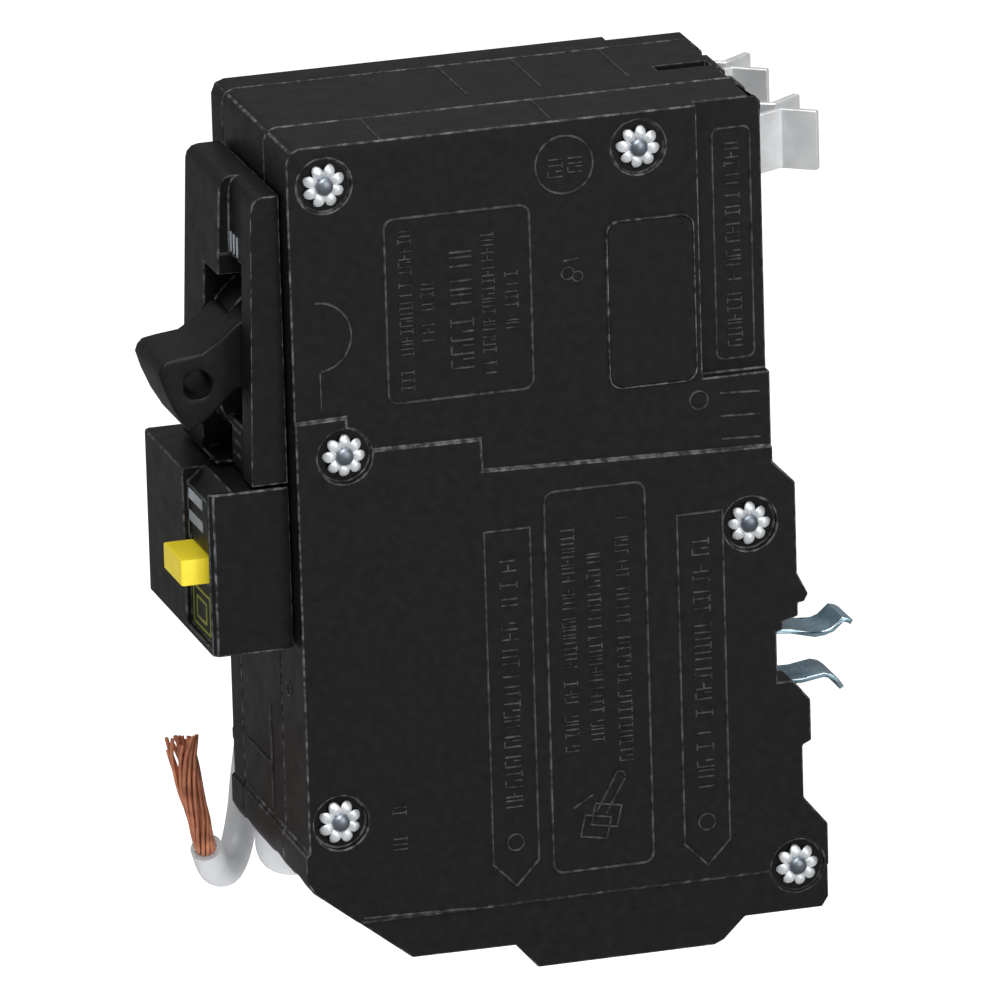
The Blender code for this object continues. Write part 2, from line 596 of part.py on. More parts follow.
def electronics():
    """Board, sensing transformer, solenoid and the parts on the board."""
    board = block("circuit_board", (-5.5, -4.1), (-22.5, -3.0), (-65.0, -34.0))
    paint(board, "board_green")
    transformer = ring("sensing_transformer", 3.8, 8.6, 1.0, 8.0, (-11.0, -46.5), axis="X")
    paint(transformer, "winding_enamel")
    at = (-10.5, -14.0)
    solenoid = rod("trip_solenoid", 4.4, -63.0, -49.0, at, axis="Z")
    cut(solenoid, rod("trip_solenoid_bore", 1.8, -64.0, -48.0, at, axis="Z", steps=14))
    paint(solenoid, "winding_enamel")
    profile = [
        (0, -62.0), (1.5, -62.0), (1.5, -42.5), (3.2, -42.5), (3.2, -41.5),
        (1.3, -41.5), (1.3, -36.5), (0, -36.5),
    ]
    paint(turned("solenoid_plunger", profile, at, axis="Z", steps=14), "screw_steel")
    paint(coil_spring("plunger_spring", at, -48.6, -42.9, 2.3, 0.22, 4, "Z"), "spring_steel")
    paint(rod("capacitor", 2.9, -12.0, -5.8, (-7.8, -38.4), steps=18), "component_dark")
    paint(rod("varistor", 2.8, -8.6, -5.8, (-6.3, -52.6), steps=18), "component_dark")
    paint(block("control_chip", (-7.6, -5.8), (-8.6, -3.6), (-62.6, -57.4)), "component_dark")


# Pigtail

def smooth_path(points, per_span):
    """A Catmull-Rom curve through the points."""
    points = [Vector(p) for p in points]
    ends = [2 * points[0] - points[1]] + points + [2 * points[-1] - points[-2]]
    path = []
    for a, b, c, d in zip(ends, ends[1:], ends[2:], ends[3:]):
        for step in range(per_span):
            t = step / per_span
            linear, square, cube = c - a, 2 * a - 5 * b + 4 * c - d, 3 * b - a - 3 * c + d
            path.append(0.5 * (2 * b + linear * t + square * t**2 + cube * t**3))
    return path + [points[-1]]


def lead_route():
    """Out of the far side, round the coil, then forward and up to the stripped end."""
    y, z = COIL_CENTRE
    coil = []
    for step in range(int(COIL_TURNS * COIL_STEPS) + 1):
        angle = math.radians(COIL_START) + 2 * math.pi * step / COIL_STEPS
        x = COIL_FIRST_X + COIL_PITCH * step / COIL_STEPS
        coil.append((x, y + COIL_R * math.cos(angle), z + COIL_R * math.sin(angle)))
    return LEAD_OUT + coil + LEAD_END


def pigtail():
    route = lead_route()
    paint(tube("pigtail_lead", route, LEAD_R), "lead_insulation")
    last, before = Vector(route[-1]), Vector(route[-2])
    start = last + (last - before).normalized() * BARE_GAP
    paint(tube("pigtail_bare_end", smooth_path([start] + BARE_END, 2), COPPER_R), "copper")


clear_scene()
MATERIALS = make_materials()
near_side_cover()
centre_frame()
far_side_cover()
rivets()
handle()
test_button()
for tag, side in (("near", 1), ("far", -1)):
    line_jaw(f"line_jaw_{tag}", side)
    contacts(tag, side)
    arc_chute(tag, side)
    cradle(tag, side)
    thermal_magnetic(tag, side)
rail_clip("near", (8.6, 14.4))
rail_clip("far", (-13.0, -9.1))
for tag in TERMINALS:
    terminal(tag)
trip_bar()
electronics()
pigtail()
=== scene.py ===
"""Looks for the two-pole plug-on ground-fault breaker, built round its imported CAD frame.

Lengths are in millimetres and scaled once by MM. +X is the marked side, -Y the front and
+Z the line end, as in the CAD.
"""

import json
import math
import random

import bmesh
import bpy
from mathutils import Matrix, Vector


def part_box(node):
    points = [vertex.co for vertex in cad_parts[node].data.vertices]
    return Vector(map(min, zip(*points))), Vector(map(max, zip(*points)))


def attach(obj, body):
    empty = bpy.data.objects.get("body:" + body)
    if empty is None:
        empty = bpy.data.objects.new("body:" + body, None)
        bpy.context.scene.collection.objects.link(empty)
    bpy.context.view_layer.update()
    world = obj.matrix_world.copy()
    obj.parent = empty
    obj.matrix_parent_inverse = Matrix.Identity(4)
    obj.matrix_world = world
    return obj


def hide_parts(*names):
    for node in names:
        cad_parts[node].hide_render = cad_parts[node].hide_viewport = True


MM = 0.001

# Camera: a long lens that looks at the marked side from a little in front and above
VIEW_AZIMUTH, VIEW_ELEVATION, VIEW_ROLL = 73.74, 17.68, 1.67
VIEW_DISTANCE, VIEW_LENS = 1711.0, 522.8
VIEW_TARGET = (2.75, -32.33, -19.49)
VIEW_SLIDE = (3.59, -5.37)

# Room and floor, in metres: the floor lies well below the part, so that no shadow reaches the picture
ROOM_STRENGTH = 0.22
FLOOR_HALF, FLOOR_LEVEL, FLOOR_GLOW = 6.0, -0.42, 0.8

# Planes that the raised lines stand on
SIDE_X, UPPER_X, STRIP_X = 19.05, 18.65, 17.15
CASE_Y, NOSE_ON_Y, NOSE_OFF_Y, RECESS_Y = -58.0, -61.66, -62.22, -67.3
TOP_Z = 25.0

# Pigtail, as in the CAD
LEAD_R, BARE_GAP = 1.95, 1.3
COIL_CENTRE = (-29.0, -58.0)
COIL_R, COIL_PITCH, COIL_TURNS = 20.0, 4.0, 2.6
COIL_FIRST_X, COIL_START = -37.0, 265.0
COIL_STEPS = 14
LEAD_EXIT = (-19.4, -46.0, -64.0)
LEAD_OUT = [
    LEAD_EXIT, (-22.6, -46.3, -64.6), (-25.3, -47.9, -68.2), (-27.6, -49.6, -73.2),
    (-30.2, -48.6, -78.0), (-33.4, -43.0, -80.2), (-36.0, -37.0, -79.6),
]
LEAD_END = [
    (-26.2, -44.8, -45.2), (-26.1, -49.2, -52.0), (-25.9, -52.0, -59.5), (-25.6, -53.2, -65.6),
    (-24.6, -54.1, -70.0), (-21.6, -56.0, -73.6), (-17.3, -58.4, -74.4), (-13.4, -60.9, -72.6),
    (-11.2, -62.4, -69.2),
]
BARE_END = [(-11.0, -63.2, -65.6), (-11.4, -64.0, -61.9), (-12.0, -64.4, -57.9), (-12.5, -64.5, -55.3)]

# Copper strands: the bundle's rings as (radius, number in the ring), each strand's radius, how far the tips
# open as a share of a ring's radius, the twist along the bare end and how much it varies, in degrees
STRAND_RINGS = [(0.0, 1), (0.5, 6), (1.05, 12)]
STRAND_R, FRAY = 0.25, 0.6
TWIST, TWIST_DRIFT = 170, 14

# Below the first of these heights the noise behind the edges' painted highlight is cut to this share, so that
# less of it reaches the brighter colour and the painted highlight is fainter towards the bottom; above the
# second all of it is there
CALM_FOOT_Z, CALM_SHARE = (-69.5, -64.0), 0.84

# Sheen of the black plastic, and the distance within which the CAD's double vertices are joined
PLASTIC_SPECULAR = 0.17
WELD_REACH = 0.01


# Node materials

class Shade:
    """A Principled material with short calls for the nodes that feed it."""

    def __init__(self, name, colour, roughness=0.5, metallic=0.0):
        self.material = bpy.data.materials.new(name)
        self.material.use_nodes = True
        self.tree = self.material.node_tree
        self.shader = self.tree.nodes["Principled BSDF"]
        self.shader.inputs["Base Color"].default_value = (*colour, 1)
        self.shader.inputs["Roughness"].default_value = roughness
        self.shader.inputs["Metallic"].default_value = metallic
        self.place = self.tree.nodes.new("ShaderNodeTexCoord").outputs["Object"]

    def node(self, kind, **settings):
        made = self.tree.nodes.new(kind)
        for name, value in settings.items():
            setattr(made, name, value)
        return made

    def link(self, out, into):
        self.tree.links.new(out, into)

    def noise(self, scale, detail=3.0, stretch=(1, 1, 1)):
        mapping = self.node("ShaderNodeMapping")
        mapping.inputs["Scale"].default_value = stretch
        self.link(self.place, mapping.inputs["Vector"])
        made = self.node("ShaderNodeTexNoise")
        made.inputs["Scale"].default_value = scale
        made.inputs["Detail"].default_value = detail
        self.link(mapping.outputs[0], made.inputs["Vector"])
        return made.outputs["Fac"]

    def ramp(self, value, low, high, first, second):
        """Maps value from low..high to two grey levels or two colours."""
        made = self.node("ShaderNodeValToRGB")
        for stop, place, colour in zip(made.color_ramp.elements, (low, high), (first, second)):
            stop.position = place
            stop.color = (*colour, 1) if hasattr(colour, "__len__") else (colour, colour, colour, 1)
        self.link(value, made.inputs["Fac"])
        return made.outputs["Color"]

    def less_below(self, value, low, high):
        """Fades a value from all of it at the height high down to CALM_SHARE of it at low."""
        parts = self.node("ShaderNodeSeparateXYZ")
        self.link(self.place, parts.inputs[0])
        fade = self.node("ShaderNodeMapRange")
        limits = {"From Min": low * MM, "From Max": high * MM, "To Min": CALM_SHARE, "To Max": 1.0}
        for socket, number in limits.items():
            fade.inputs[socket].default_value = number
        self.link(parts.outputs["Z"], fade.inputs["Value"])
        product = self.node("ShaderNodeMath", operation="MULTIPLY")
        self.link(value, product.inputs[0])
        self.link(fade.outputs["Result"], product.inputs[1])
        return product.outputs[0]

    def bump(self, height, strength, distance):
        made = self.node("ShaderNodeBump")
        made.inputs["Strength"].default_value = strength
        made.inputs["Distance"].default_value = distance * MM
        self.link(height, made.inputs["Height"])
        self.link(made.outputs["Normal"], self.shader.inputs["Normal"])

    def into(self, socket, value):
        self.link(value, self.shader.inputs[socket])


def case_plastic(name, dark, light, rough, speckle=(0.35, 0.7), calm_foot=False):
    """Moulded black thermoset: a fine grain from dark to light, fainter at a calm foot. It also makes the
    lighter greys that paint highlights on edges and raised lines; there the calm foot makes the painted
    highlight fainter towards the bottom.
    """
    shade = Shade(name, light, rough[0])
    shade.shader.inputs["Specular IOR Level"].default_value = PLASTIC_SPECULAR
    grain = shade.noise(900, 6)
    # On the edges this fades the painted highlight, so they are darker towards the bottom.
    if calm_foot:
        grain = shade.less_below(grain, *CALM_FOOT_Z)
    shade.into("Base Color", shade.ramp(grain, *speckle, dark, light))
    shade.into("Roughness", shade.ramp(shade.noise(420, 4), 0.3, 0.75, *rough))
    shade.bump(shade.noise(5200, 2), 0.22, 0.05)
    return shade.material


def plain_metal(name, dark, light, rough=(0.25, 0.42), scale=900, stretch=(1, 1, 1), metallic=1.0):
    """A plated or bare metal with fine scratches and uneven tarnish."""
    shade = Shade(name, light, rough[0], metallic)
    shade.into("Base Color", shade.ramp(shade.noise(scale * 0.4, 5), 0.3, 0.72, dark, light))
    shade.into("Roughness", shade.ramp(shade.noise(scale, 4, stretch), 0.3, 0.7, *rough))
    shade.bump(shade.noise(scale * 3, 3, stretch), 0.12, 0.05)
    return shade.material


def moulded(name, dark, light, rough=(0.35, 0.5), relief=0.15):
    """Coloured plastic or paint, slightly uneven."""
    shade = Shade(name, light, rough[0])
    shade.into("Base Color", shade.ramp(shade.noise(260, 4), 0.3, 0.7, dark, light))
    shade.into("Roughness", shade.ramp(shade.noise(500, 3), 0.3, 0.7, *rough))
    shade.bump(shade.noise(3800, 2), relief, 0.05)
    return shade.material


def make_materials():
    """Every material by name: the record's slots, the lighter greys that paint highlights on edges and raised
    lines, and the turned and painted surfaces.
    """
    return {
        "case_plastic": case_plastic(
            "case_plastic", (0.0055, 0.0058, 0.0061), (0.0085, 0.0088, 0.0091), (0.36, 0.48)),
        # The lighter grey on the rounded edges of the case is a painted highlight along the edges.
        "case_edge_highlight": case_plastic(
            "case_edge_highlight", (0.016, 0.0165, 0.017), (0.12, 0.124, 0.128), (0.3, 0.4), (0.42, 0.68),
            calm_foot=True),
        # The raised lines' lighter grey is a painted highlight along them.
        "case_relief_highlight": case_plastic("case_relief_highlight", (0.014, 0.0145, 0.015), (0.075, 0.078, 0.08), (0.3, 0.4)),
        "button_yellow": moulded("button_yellow", (0.80, 0.63, 0.02), (0.90, 0.74, 0.03)),
        "rivet_steel": plain_metal(
            "rivet_steel", (0.66, 0.68, 0.70), (0.88, 0.90, 0.92), (0.4, 0.56), metallic=0.7),
        "rivet_dome": plain_metal("rivet_dome", (0.20, 0.23, 0.27), (0.36, 0.40, 0.45), (0.38, 0.5)),
        "jaw_tin": plain_metal(
            "jaw_tin", (0.66, 0.67, 0.68), (0.86, 0.87, 0.88), (0.3, 0.46), 700, (1, 1, 6), metallic=0.55),
        "clip_steel": plain_metal(
            "clip_steel", (0.13, 0.24, 0.31), (0.38, 0.54, 0.63), (0.18, 0.34), 700, (1, 5, 1), metallic=0.7),
        # The lighter steel on the clips' rounded edges is a painted highlight.
        "clip_edge_highlight": plain_metal("clip_edge_highlight", (0.55, 0.63, 0.68), (0.78, 0.84, 0.88), (0.2, 0.3)),
        "copper": plain_metal(
            "copper", (0.36, 0.12, 0.065), (0.85, 0.36, 0.21), (0.28, 0.42), 1200, metallic=0.5),
        "contact_silver": plain_metal("contact_silver", (0.62, 0.61, 0.58), (0.84, 0.83, 0.80)),
        "spring_steel": plain_metal("spring_steel", (0.40, 0.41, 0.43), (0.62, 0.63, 0.65)),
        "bimetal_strip": plain_metal("bimetal_strip", (0.42, 0.37, 0.28), (0.60, 0.55, 0.44)),
        "lug_metal": plain_metal("lug_metal", (0.48, 0.49, 0.50), (0.70, 0.71, 0.72), (0.34, 0.5)),
        "screw_steel": plain_metal("screw_steel", (0.50, 0.48, 0.40), (0.72, 0.70, 0.62)),
        "trip_plastic": moulded("trip_plastic", (0.45, 0.08, 0.03), (0.60, 0.12, 0.05)),
        "board_green": moulded("board_green", (0.02, 0.14, 0.05), (0.03, 0.22, 0.09), (0.25, 0.4)),
        "component_dark": moulded("component_dark", (0.02, 0.02, 0.025), (0.04, 0.04, 0.045)),
        "winding_enamel": plain_metal("winding_enamel", (0.36, 0.12, 0.05), (0.58, 0.24, 0.10), (0.3, 0.45)),
        "lead_insulation": moulded(
            "lead_insulation", (0.50, 0.51, 0.53), (0.57, 0.58, 0.60), (0.3, 0.42), relief=0.05),
        "mark_white": moulded("mark_white", (0.22, 0.25, 0.27), (0.36, 0.40, 0.43), (0.45, 0.6)),
        "mark_lime": moulded("mark_lime", (0.11, 0.13, 0.01), (0.20, 0.22, 0.02), (0.45, 0.6)),
    }


# Mesh helpers

def piece(name, points, faces, material, smooth):
    """A mesh piece on the case from millimetre points, smooth across edges flatter than so many degrees."""
    mesh = bpy.data.meshes.new(name)
    mesh.from_pydata([Vector(p) * MM for p in points], [], faces)
    grown = bmesh.new()
    grown.from_mesh(mesh)
    bmesh.ops.recalc_face_normals(grown, faces=grown.faces)
    grown.to_mesh(mesh)
    grown.free()
    mesh.shade_smooth()
    mesh.set_sharp_from_angle(angle=math.radians(smooth))
    item = bpy.data.objects.new(name, mesh)
    bpy.context.scene.collection.objects.link(item)
    mesh.materials.append(MATERIALS[material])
    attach(item, "case")
    return item


# Strokes of made-up marks: (share of the height, share of the width)
MARKS = [
    [((0, 0), (1, 0))],
    [((0, 0), (1, 0)), ((0, 1), (1, 1))],
    [((0, 0.5), (1, 0.5)), ((1, 0), (1, 1))],
    [((0, 0), (1, 0)), ((0.5, 0), (0.5, 1))],
    [((0, 0), (0, 1)), ((1, 0), (1, 1)), ((0, 0.5), (1, 0.5))],
    [((0, 0), (1, 0)), ((0, 0), (0, 1)), ((0.5, 1), (1, 1))],
]
# A mark's pitch as a share of its size, a gap as a share of the pitch, and how often a gap comes
MARK_PITCH, MARK_GAP, GAP_CHANCE = 0.62, 0.7, 0.12

# A ridge's foot goes this far into its face, a corner's reach is cut off at a mitre of this cosine, and the
# ridge's top keeps at least this share of the width
SUNK, SHARPEST_MITRE, NARROWEST_TOP = 0.05, 0.4, 0.45


class Relief:
    """Raised lines on a flat face, gathered into one piece.

    A face is given by the plane that it lies in: across maps (a, b, height) to a point.
    """

    def __init__(self, across):
        self.across = across
        self.points, self.faces = [], []

    def line(self, path, width=0.3, height=0.16, closed=False):
        """A ridge along a path, its top narrower than its foot."""
        count = len(path)
        first = len(self.points)
        for i, here in enumerate(path):
            here = Vector(here)
            before = Vector(path[i - 1]) if closed or i else here
            after = Vector(path[(i + 1) % count]) if closed or i < count - 1 else here
            ways = [way.normalized() for way in (here - before, after - here) if way.length > 1e-6]
            normals = [Vector((-way.y, way.x)) for way in ways]
            mitre = sum(normals, Vector((0, 0))).normalized()
            reach = width / 2 / max(mitre.dot(normals[0]), SHARPEST_MITRE)
            top = max(NARROWEST_TOP, 1 - height / width)
            for side, share, level in ((1, 1, -SUNK), (1, top, height), (-1, top, height), (-1, 1, -SUNK)):
                spot = here + mitre * reach * side * share
                self.points.append(self.across(spot.x, spot.y, level))
        for i in range(count if closed else count - 1):
            near, far = first + 4 * i, first + 4 * ((i + 1) % count)
            for edge in range(4):
                after = (edge + 1) % 4
                self.faces.append((near + edge, near + after, far + after, far + edge))
        if not closed:
            self.faces.append(tuple(first + i for i in range(4)))
            self.faces.append(tuple(first + 4 * (count - 1) + i for i in range(4)))

    def box(self, low, high, radius=0.0, **kinds):
        self.line(rounded(low, high, radius), closed=True, **kinds)

    def circle(self, centre, radius, **kinds):
        self.line(arc(centre, radius, 0, 360)[:-1], closed=True, **kinds)

    def script(self, a, b, size, length, seed, width=0.2, height=0.14):
        """A column of made-up marks that stands for a moulded inscription."""
        dice = random.Random(seed)
        pitch = size * MARK_PITCH
        place = 0.0
        while place < length - pitch / 2:
            if dice.random() < GAP_CHANCE:
                place += pitch * MARK_GAP
                continue
            for stroke in dice.choice(MARKS):
                path = [(a - size / 2 + u * size, b + place + v * pitch * MARK_PITCH) for u, v in stroke]
                self.line(path, width, height)
            place += pitch

    # By default the lines take the lighter relief grey, a painted highlight.
    def piece(self, name, material="case_relief_highlight"):
        piece(name, self.points, self.faces, material, smooth=25)


def arc(centre, radius, start, end, steps=None):
    """Points along an arc between two angles in degrees."""
    steps = steps or max(3, int(abs(end - start) / 12))
    path = []
    for i in range(steps + 1):
        angle = math.radians(start + (end - start) * i / steps)
        path.append((centre[0] + radius * math.cos(angle), centre[1] + radius * math.sin(angle)))
    return path


def rounded(low, high, radius):
    """A rounded rectangle as a closed path."""
    if radius <= 0:
        return [low, (high[0], low[1]), high, (low[0], high[1])]
    corners = [
        ((high[0] - radius, low[1] + radius), -90), ((high[0] - radius, high[1] - radius), 0),
        ((low[0] + radius, high[1] - radius), 90), ((low[0] + radius, low[1] + radius), 180),
    ]
    return [point for centre, start in corners for point in arc(centre, radius, start, start + 90, 4)]


def side_face(x):
    return lambda a, b, height: (x + height, a, b)


def front_face(y):
    return lambda a, b, height: (a, y - height, b)


def top_face(z):
    return lambda a, b, height: (a, b, z + height)


def raised_pad(name, outline, across, height, rim=0.12):
    """A low pad with a softened rim, from a closed outline."""
    count = len(outline)
    middle = Vector((sum(p[0] for p in outline), sum(p[1] for p in outline))) / count
    points = []
    for inset, level in ((0, -SUNK), (0, height - rim), (rim, height)):
        for spot in outline:
            spot = Vector(spot)
            inward = (middle - spot).normalized() * inset
            points.append(across(spot.x + inward.x, spot.y + inward.y, level))
    faces = [list(range(2 * count, 3 * count)), list(range(count))]
    for low in (0, count):
        high = low + count
        for i in range(count):
            after = (i + 1) % count
            faces.append((low + i, low + after, high + after, high + i))
    piece(name, points, faces, "case_plastic", smooth=20)


# Raised details and painted marks

def marked_side():
    """Frames, made-up inscriptions and small marks, each group on its own plane."""
    upper, lower, strip = side_face(UPPER_X), side_face(SIDE_X), side_face(STRIP_X)
    rating = Relief(upper)
    rating.box((-46.5, -7.05), (-28.9, 15.3), 1.2, width=0.34)
    rating.script(-44.1, -5.6, 1.5, 19.6, 3)
    rating.script(-41.5, 0.2, 1.5, 7.6, 4)
    rating.script(-37.4, -3.6, 2.7, 16.5, 5, width=0.3, height=0.2)
    rating.script(-34.1, -4.6, 1.5, 17.6, 6)
    rating.script(-31.3, 0.6, 1.5, 7.2, 7)
    rating.piece("rating_relief")
    emblem = Relief(upper)
    emblem.circle((-24.5, 19.6), 3.5, width=0.3)
    emblem.script(-25.6, 18.2, 1.7, 3.0, 12)
    emblem.script(-23.2, 18.6, 1.7, 2.6, 13)
    emblem.line([(-24.9, 7.9), (-23.1, 8.1)], 0.3)
    emblem.circle((-24.4, 6.4), 0.75, width=0.25)
    emblem.circle((-23.2, 5.9), 0.6, width=0.22)
    emblem.line(arc((-55.0, 2.0), 4.2, -84, 92), 0.3)
    emblem.line([(-54.7, -2.3), (-54.7, -7.0)], 0.22)
    emblem.piece("emblem_relief")
    raised_pad("blank_pad", rounded((-19.5, -8.2), (-9.1, 11.9), 1.4), upper, 0.3)
    # The pad's rim takes the lighter edge grey: a painted highlight along its top.
    rim = Relief(upper)
    rim.box((-19.6, -8.3), (-9.0, 12.0), 1.45, width=0.26, height=0.34)
    rim.piece("blank_pad_rim", "case_edge_highlight")
    line_end = Relief(strip)
    line_end.box((-6.0, -6.7), (-1.4, 21.4), 0.8, width=0.3)
    line_end.script(-3.7, -5.2, 1.7, 25.4, 21, width=0.24)
    line_end.piece("line_strip_relief")
    back = Relief(upper)
    back.circle((-8.8, -10.9), 1.1, width=0.28)
    for z in (-10.5, -13.3, -16.1):
        back.line([(-6.2, z + 0.15), (-1.4, z - 0.1)], 0.3)
    back.piece("back_edge_relief")
    load = Relief(lower)
    load.box((-28.2, -67.0), (-15.9, -19.9), 1.2, width=0.34)
    columns = ((-25.5, -53.5, 29.5, 31), (-22.4, -52.0, 25.0, 32), (-18.9, -54.0, 32.0, 33))
    for a, start, length, seed in columns:
        load.script(a, start, 1.6, length, seed, width=0.22)
    lug_mark(load, (-22.2, -60.4))
    load.piece("wire_data_relief")
    arrows = Relief(lower)
    for centre, tip, top, seed in ((-32.8, -67.9, -23.9, 41), (-9.2, -68.3, -24.6, 42)):
        arrow(arrows, centre, tip, top)
        arrows.script(centre, tip + 9.8, 2.0, 31.0, seed, width=0.26)
        arrows.circle((centre, tip + 5.4), 1.0, width=0.24)
    arrows.script(-46.9, -62.3, 1.6, 3.0, 43)
    arrows.script(-46.9, -57.4, 1.6, 2.2, 44)
    arrows.line([(-51.6, -69.6), (-38.4, -70.0)], 0.3, 0.12)
    arrows.piece("arrow_relief")


def arrow(relief, centre, tip, top):
    """A long square-topped outline with a point at its foot."""
    half, point = 2.8, 2.9
    corners = [(centre, tip), (centre + half, tip + point), (centre + half, top)]
    corners += [(centre - half, top), (centre - half, tip + point)]
    relief.line(corners, 0.3, closed=True)


def lug_mark(relief, centre):
    """A small picture of a lug with a wire in it, in plain outlines."""
    y, z = centre
    plate = [(-2.6, -2.4), (0.6, -3.0), (1.2, -0.4), (-2.0, 0.2)]
    for shift in (0.0, 1.3):
        relief.line([(y + a + shift, z + b + shift) for a, b in plate], 0.26, closed=True)
    relief.line([(y - 0.6, z + 0.4), (y + 1.8, z + 4.6)], 0.3)
    relief.line([(y + 0.6, z + 0.1), (y + 3.0, z + 4.2)], 0.3)
    relief.line(arc((y + 2.4, z + 4.5), 0.65, 0, 180), 0.24)
    relief.line([(y - 3.4, z + 1.2), (y - 1.0, z + 2.6)], 0.24)


def top_lines():
    """Faint parting lines across the line end, in the lighter relief grey that paints a highlight along them.
    """
    lines = Relief(top_face(TOP_Z))
    for y in (-12.0, -22.8, -31.8):
        lines.line([(-8.0, y), (4.2, y)], 0.24, 0.1)
    lines.line([(9.4, -25.6), (17.8, -25.8)], 0.24, 0.1)
    lines.line([(9.6, -46.4), (18.4, -46.6)], 0.24, 0.1)
    lines.piece("top_relief")


def front_marks():
    """White position marks, the two bars over the button and the lime tag under it."""
    on = Relief(front_face(NOSE_ON_Y))
    for x in (6.9, 8.2, 9.6):
        on.line([(x, 10.0), (x, 12.4)], 0.5, 0.08)
    on.piece("on_marks", "mark_white")
    off = Relief(front_face(NOSE_OFF_Y))
    for z in (-11.2, -12.7, -14.2):
        off.line([(7.0, z), (10.8, z)], 0.5, 0.08)
    # The off marks take the same lighter grey as the painted edge highlights.
    off.piece("off_marks", "case_edge_highlight")
    bars = Relief(front_face(RECESS_Y))
    for z in (-19.3, -22.0):
        bars.line([(5.1, z), (10.8, z)], 1.3, 0.08)
    bars.piece("test_marks", "mark_white")
    tag = Relief(front_face(RECESS_Y))
    tag.box((5.7, -34.8), (12.9, -30.2), 0.3, width=0.4, height=0.08)
    tag.box((7.2, -33.8), (11.2, -31.3), 0.2, width=0.4, height=0.08)
    tag.piece("test_tag", "mark_lime")
    lines = Relief(front_face(CASE_Y))
    lines.circle((12.5, -42.4), 0.8, width=0.3)
    lines.line([(4.0, -47.0), (4.0, -59.8)], 0.3)
    lines.line([(-6.5, -54.4), (3.6, -54.4)], 0.3)
    lines.piece("front_relief")


# Rivets

# The petals' width is this share of their room round the rivet; a petal starts at PETAL_FOOT from the axis
PETALS, PETAL_FILL, PETAL_FOOT = 8, 0.8, 0.85
PETAL_ROWS, PETAL_SIDES = 9, 14
# The crown's seat is this far behind the CAD rivet's end, and the shortest petal has this share of its radius
SEAT_DEPTH, SHORTEST_PETAL = 1.1, 0.93
RIVETS, STEM_R = 6, 1.2


def rivet(number):
    """A tubular rivet: its domed shank end stands in a crown of rolled petals."""
    low, high = (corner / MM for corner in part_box(f"rivet_{number}"))
    centre = (low + high) / 2
    seat, radius = high.x - SEAT_DEPTH, (high.y - low.y) / 2
    dice = random.Random(number)
    turn = dice.random() * math.pi
    points, faces = [], []
    for petal in range(PETALS):
        angle = turn + 2 * math.pi * petal / PETALS
        reach = radius * dice.uniform(SHORTEST_PETAL, 1.0)
        rolled_petal(Vector((seat, centre.y, centre.z)), angle, reach, points, faces)
    crown = piece(f"rivet_crown_{number}", points, faces, "rivet_steel", smooth=70)
    stem = turned_piece(f"rivet_stem_{number}", rivet_stem(low.x, seat), (centre.y, centre.z), "rivet_dome")
    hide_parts(f"rivet_{number}")
    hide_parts(f"rivet_{number}")


def rolled_petal(seat, angle, reach, points, faces):
    """One fat petal: an egg-shaped cushion that rises from the dome and rolls down at its tip.

    Its rings run from the foot, share 0, to the tip, share 1: wide and thick are a ring's half axes, and
    level is how high the ring's middle stands over the seat.
    """
    first = len(points)
    out = Vector((0, math.cos(angle), math.sin(angle)))
    side = Vector((0, -out.z, out.y))
    half = math.pi * reach / PETALS * PETAL_FILL
    for row in range(PETAL_ROWS + 1):
        share = row / PETAL_ROWS
        along = PETAL_FOOT + (reach - PETAL_FOOT) * share
        wide = half * (0.62 + 0.5 * share) * (1 - share**4 * 0.75)
        thick = 0.34 * math.sin(math.pi * (0.12 + 0.85 * share)) ** 0.6
        level = 0.30 + 0.28 * math.sin(math.pi * share * 0.8) - 0.28 * share**3
        for step in range(PETAL_SIDES):
            turn = 2 * math.pi * step / PETAL_SIDES
            spot = seat + out * along + side * wide * math.cos(turn)
            spot.x += level + thick * math.sin(turn)
            points.append(spot)
    for row in range(PETAL_ROWS):
        for step in range(PETAL_SIDES):
            a, b = first + row * PETAL_SIDES, first + (row + 1) * PETAL_SIDES
            after = (step + 1) % PETAL_SIDES
            faces.append((a + step, a + after, b + after, b + step))
    faces.append([first + step for step in range(PETAL_SIDES)])
    faces.append([first + PETAL_ROWS * PETAL_SIDES + step for step in range(PETAL_SIDES)])


def rivet_stem(far, seat):
    """Profile from the far side's factory head to the dome: radius, place along X."""
    return [
        (0, far), (1.0, far + 0.05), (1.9, far + 0.3), (2.5, far + 0.7), (2.6, far + 0.95),
        (2.4, far + 1.15), (STEM_R, far + 1.15), (STEM_R, seat - 0.05),
        (1.15, seat + 0.2), (1.1, seat + 0.7), (0.92, seat + 0.96), (0.6, seat + 1.12), (0, seat + 1.2),
    ]


def turned_piece(name, profile, centre, material, steps=36):
    """A piece turned round a line along X through centre, closed where the profile meets the line."""
    points, rings = [], []
    for radius, along in profile:
        row = []
        for step in range(steps if radius > 0 else 1):
            angle = 2 * math.pi * step / steps
            row.append(len(points))
            points.append((along, centre[0] + radius * math.cos(angle), centre[1] + radius * math.sin(angle)))
        rings.append(row)
    faces = []
    for low, high in zip(rings, rings[1:]):
        for step in range(steps):
            after = (step + 1) % steps
            corners = [low[step % len(low)], low[after % len(low)]]
            corners += [high[after % len(high)], high[step % len(high)]]
            faces.append(list(dict.fromkeys(corners)))
    return piece(name, points, faces, material, smooth=40)


# Pigtail

